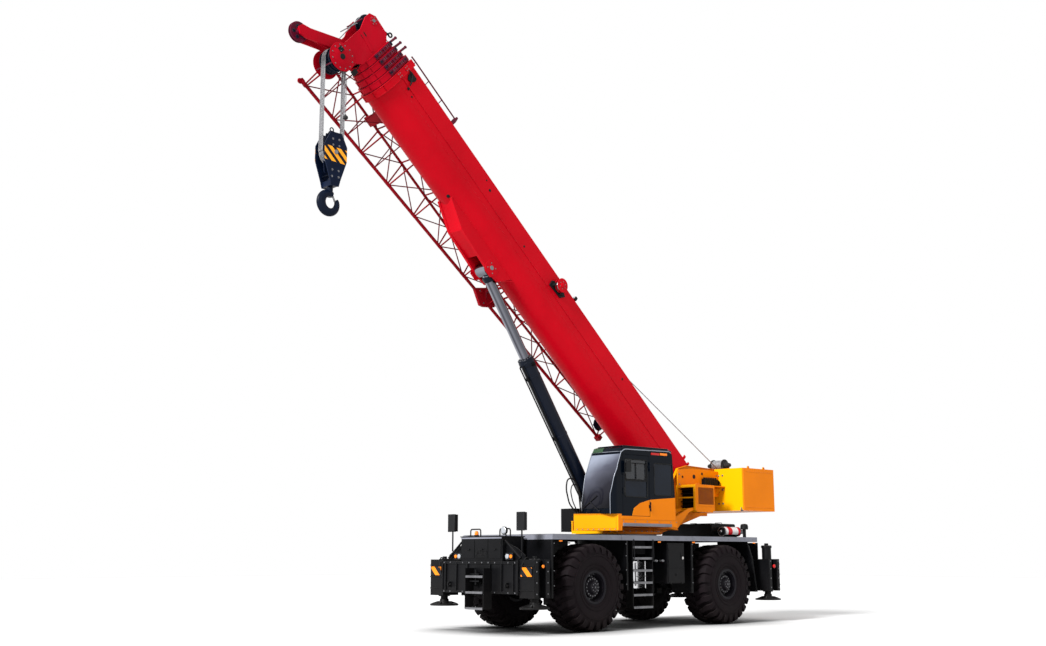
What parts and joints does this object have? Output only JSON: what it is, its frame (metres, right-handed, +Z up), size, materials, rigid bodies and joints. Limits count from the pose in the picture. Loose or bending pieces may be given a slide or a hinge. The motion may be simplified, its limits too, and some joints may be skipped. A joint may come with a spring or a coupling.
{
  "type": "rough-terrain mobile crane",
  "caption": "Two-axle rough-terrain mobile crane, boom half raised: black carrier on big tyres, amber turntable and counterweight, dark cab, red telescopic boom.",
  "frame": {"origin": "on the ground, midway across the carrier, under the centre of the slewing ring", "axes": "+X to the operator's left (the cab's side), +Y towards the counterweight, +Z up; the cab and boom face -Y"},
  "size_m": [3.4, 13.5889, 12.4617],
  "materials": {
    "black_paint": "satin",
    "cast_steel": "matte",
    "polished_metal": "polished",
    "tyre_rubber": "matte",
    "yellow_paint": "gloss",
    "dark_glass": "gloss",
    "seat_cloth": "matte",
    "dark_plastic": "matte",
    "red_paint": "gloss",
    "navy_paint": "satin",
    "chrome_rod": "polished",
    "steel_rope": "brushed"
  },
  "bodies": {
    "carrier": {"chassis_frame": "black_paint", "deck_and_arches": "black_paint", "outrigger_boxes": "black_paint", "axle_housings": "black_paint", "slewing_ring": "cast_steel", "engine_hood": "black_paint", "engine_block": "cast_steel", "exhaust_and_intake": "black_paint", "polished_tank": "polished_metal", "left_toolbox": "black_paint", "right_tank": "black_paint", "ladders": "black_paint", "end_cabinets": "black_paint", "mirrors_and_lamps": "black_paint"},
    "steering_knuckle_front_left": {"knuckle_front_left": "black_paint"},
    "wheel_front_left": {"rim_front_left": "black_paint", "tyre_front_left": "tyre_rubber"},
    "outrigger_front_left": {"outrigger_beam_front_left": "black_paint"},
    "jack_front_left": {"outrigger_jack_front_left": "black_paint"},
    "steering_knuckle_front_right": {"knuckle_front_right": "black_paint"},
    "wheel_front_right": {"rim_front_right": "black_paint", "tyre_front_right": "tyre_rubber"},
    "outrigger_front_right": {"outrigger_beam_front_right": "black_paint"},
    "jack_front_right": {"outrigger_jack_front_right": "black_paint"},
    "steering_knuckle_rear_left": {"knuckle_rear_left": "black_paint"},
    "wheel_rear_left": {"rim_rear_left": "black_paint", "tyre_rear_left": "tyre_rubber"},
    "outrigger_rear_left": {"outrigger_beam_rear_left": "black_paint"},
    "jack_rear_left": {"outrigger_jack_rear_left": "black_paint"},
    "steering_knuckle_rear_right": {"knuckle_rear_right": "black_paint"},
    "wheel_rear_right": {"rim_rear_right": "black_paint", "tyre_rear_right": "tyre_rubber"},
    "outrigger_rear_right": {"outrigger_beam_rear_right": "black_paint"},
    "jack_rear_right": {"outrigger_jack_rear_right": "black_paint"},
    "superstructure": {"turntable": "yellow_paint", "counterweight": "yellow_paint", "hoist_winch": "black_paint", "side_cabinets": "yellow_paint", "cab_platform": "yellow_paint", "cab_shell": "black_paint", "cab_glass": "dark_glass", "cab_seat": "seat_cloth", "cab_console": "dark_plastic"},
    "left_door": {"cab_door": "black_paint", "door_glass": "dark_glass"},
    "boom": {"boom_base": "red_paint", "jib_lattice": "red_paint"},
    "section_2": {"boom_section_2": "red_paint"},
    "section_3": {"boom_section_3": "red_paint"},
    "section_4": {"boom_section_4": "red_paint"},
    "boom_head": {"boom_head_section": "red_paint", "head_sheaves": "navy_paint"},
    "cylinder_rod": {"lift_rod": "chrome_rod"},
    "cylinder_barrel": {"lift_barrel": "navy_paint"},
    "rope_falls": {"hoist_falls": "steel_rope"},
    "hook_block_body": {"hook_block": "navy_paint"},
    "hook": {"crane_hook": "navy_paint"}
  },
  "joints": [
    {"name": "steer_front_left", "type": "hinge", "parent": "carrier", "child": "steering_knuckle_front_left", "pos_m": [0.85, -2.4, 0.903], "axis": [0, 0, 1], "range_deg": [-20, 20]},
    {"name": "roll_front_left", "type": "hinge", "parent": "steering_knuckle_front_left", "child": "wheel_front_left", "pos_m": [1.185, -2.4, 0.903], "axis": [1, 0, 0], "continuous": true},
    {"name": "steer_front_right", "type": "hinge", "parent": "carrier", "child": "steering_knuckle_front_right", "pos_m": [-0.85, -2.4, 0.903], "axis": [0, 0, 1], "range_deg": [-20, 20]},
    {"name": "roll_front_right", "type": "hinge", "parent": "steering_knuckle_front_right", "child": "wheel_front_right", "pos_m": [-1.185, -2.4, 0.903], "axis": [1, 0, 0], "continuous": true},
    {"name": "steer_rear_left", "type": "hinge", "parent": "carrier", "child": "steering_knuckle_rear_left", "pos_m": [0.85, 2.08, 0.903], "axis": [0, 0, 1], "range_deg": [-20, 20]},
    {"name": "roll_rear_left", "type": "hinge", "parent": "steering_knuckle_rear_left", "child": "wheel_rear_left", "pos_m": [1.185, 2.08, 0.903], "axis": [1, 0, 0], "continuous": true},
    {"name": "steer_rear_right", "type": "hinge", "parent": "carrier", "child": "steering_knuckle_rear_right", "pos_m": [-0.85, 2.08, 0.903], "axis": [0, 0, 1], "range_deg": [-20, 20]},
    {"name": "roll_rear_right", "type": "hinge", "parent": "steering_knuckle_rear_right", "child": "wheel_rear_right", "pos_m": [-1.185, 2.08, 0.903], "axis": [1, 0, 0], "continuous": true},
    {"name": "outrigger_front_left_out", "type": "slide", "parent": "carrier", "child": "outrigger_front_left", "axis": [1, 0, 0], "range_m": [0, 2]},
    {"name": "jack_front_left_down", "type": "slide", "parent": "outrigger_front_left", "child": "jack_front_left", "axis": [0, 0, -1], "range_m": [0, 0.5]},
    {"name": "outrigger_front_right_out", "type": "slide", "parent": "carrier", "child": "outrigger_front_right", "axis": [-1, 0, 0], "range_m": [0, 2]},
    {"name": "jack_front_right_down", "type": "slide", "parent": "outrigger_front_right", "child": "jack_front_right", "axis": [0, 0, -1], "range_m": [0, 0.5]},
    {"name": "outrigger_rear_left_out", "type": "slide", "parent": "carrier", "child": "outrigger_rear_left", "axis": [1, 0, 0], "range_m": [0, 2]},
    {"name": "jack_rear_left_down", "type": "slide", "parent": "outrigger_rear_left", "child": "jack_rear_left", "axis": [0, 0, -1], "range_m": [0, 0.5]},
    {"name": "outrigger_rear_right_out", "type": "slide", "parent": "carrier", "child": "outrigger_rear_right", "axis": [-1, 0, 0], "range_m": [0, 2]},
    {"name": "jack_rear_right_down", "type": "slide", "parent": "outrigger_rear_right", "child": "jack_rear_right", "axis": [0, 0, -1], "range_m": [0, 0.5]},
    {"name": "slew", "type": "hinge", "parent": "carrier", "child": "superstructure", "pos_m": [0, 0, 2.03], "axis": [0, 0, 1], "continuous": true},
    {"name": "door_hinge", "type": "hinge", "parent": "superstructure", "child": "left_door", "pos_m": [1.34, -0.4, 3.06], "axis": [0, 0, 1], "range_deg": [0, 80]},
    {"name": "luff", "type": "hinge", "parent": "superstructure", "child": "boom", "pos_m": [0, 2, 3.3], "axis": [-1, 0, 0], "range_deg": [-42, 36]},
    {"name": "telescope_2", "type": "slide", "parent": "boom", "child": "section_2", "axis": [0, -0.7431, 0.6691], "range_m": [0, 7.6]},
    {"name": "telescope_3", "type": "slide", "parent": "section_2", "child": "section_3", "axis": [0, -0.7431, 0.6691], "range_m": [0, 7.6]},
    {"name": "telescope_4", "type": "slide", "parent": "section_3", "child": "section_4", "axis": [0, -0.7431, 0.6691], "range_m": [0, 7.6]},
    {"name": "telescope_5", "type": "slide", "parent": "section_4", "child": "boom_head", "axis": [0, -0.7431, 0.6691], "range_m": [0, 7.6]},
    {"name": "cylinder_rod_eye", "type": "hinge", "parent": "boom", "child": "cylinder_rod", "pos_m": [0, -4.18383, 7.64073], "axis": [-1, 0, 0], "range_deg": [-13.7, 11.8]},
    {"name": "cylinder_stroke", "type": "slide", "parent": "cylinder_rod", "child": "cylinder_barrel", "axis": [0, 0.5551, -0.8318], "range_m": [-1.54, 1.32]},
    {"name": "falls_plumb", "type": "hinge", "parent": "boom_head", "child": "rope_falls", "pos_m": [0, -8.24602, 11.27412], "axis": [-1, 0, 0], "range_deg": [-36.1, 42.1]},
    {"name": "hoist", "type": "slide", "parent": "rope_falls", "child": "hook_block_body", "axis": [0, 0, -1], "range_m": [-0.95, 7.5], "deforming": ["hoist_falls"]},
    {"name": "hook_swivel", "type": "hinge", "parent": "hook_block_body", "child": "hook", "pos_m": [0, -8.24602, 8.7], "axis": [0, 0, 1], "continuous": true}
  ],
  "couplings": [
    {"joint": "steer_front_right", "follows": "steer_front_left", "ratio": 1},
    {"joint": "steer_rear_right", "follows": "steer_rear_left", "ratio": 1},
    {"joint": "telescope_3", "follows": "telescope_2", "ratio": 1},
    {"joint": "telescope_4", "follows": "telescope_2", "ratio": 1},
    {"joint": "telescope_5", "follows": "telescope_2", "ratio": 1},
    {"joint": "cylinder_rod_eye", "follows": "luff", "ratio": 0.324},
    {"joint": "cylinder_stroke", "follows": "luff", "m_per_rad": 2.081},
    {"joint": "falls_plumb", "follows": "luff", "ratio": -1}
  ]
}
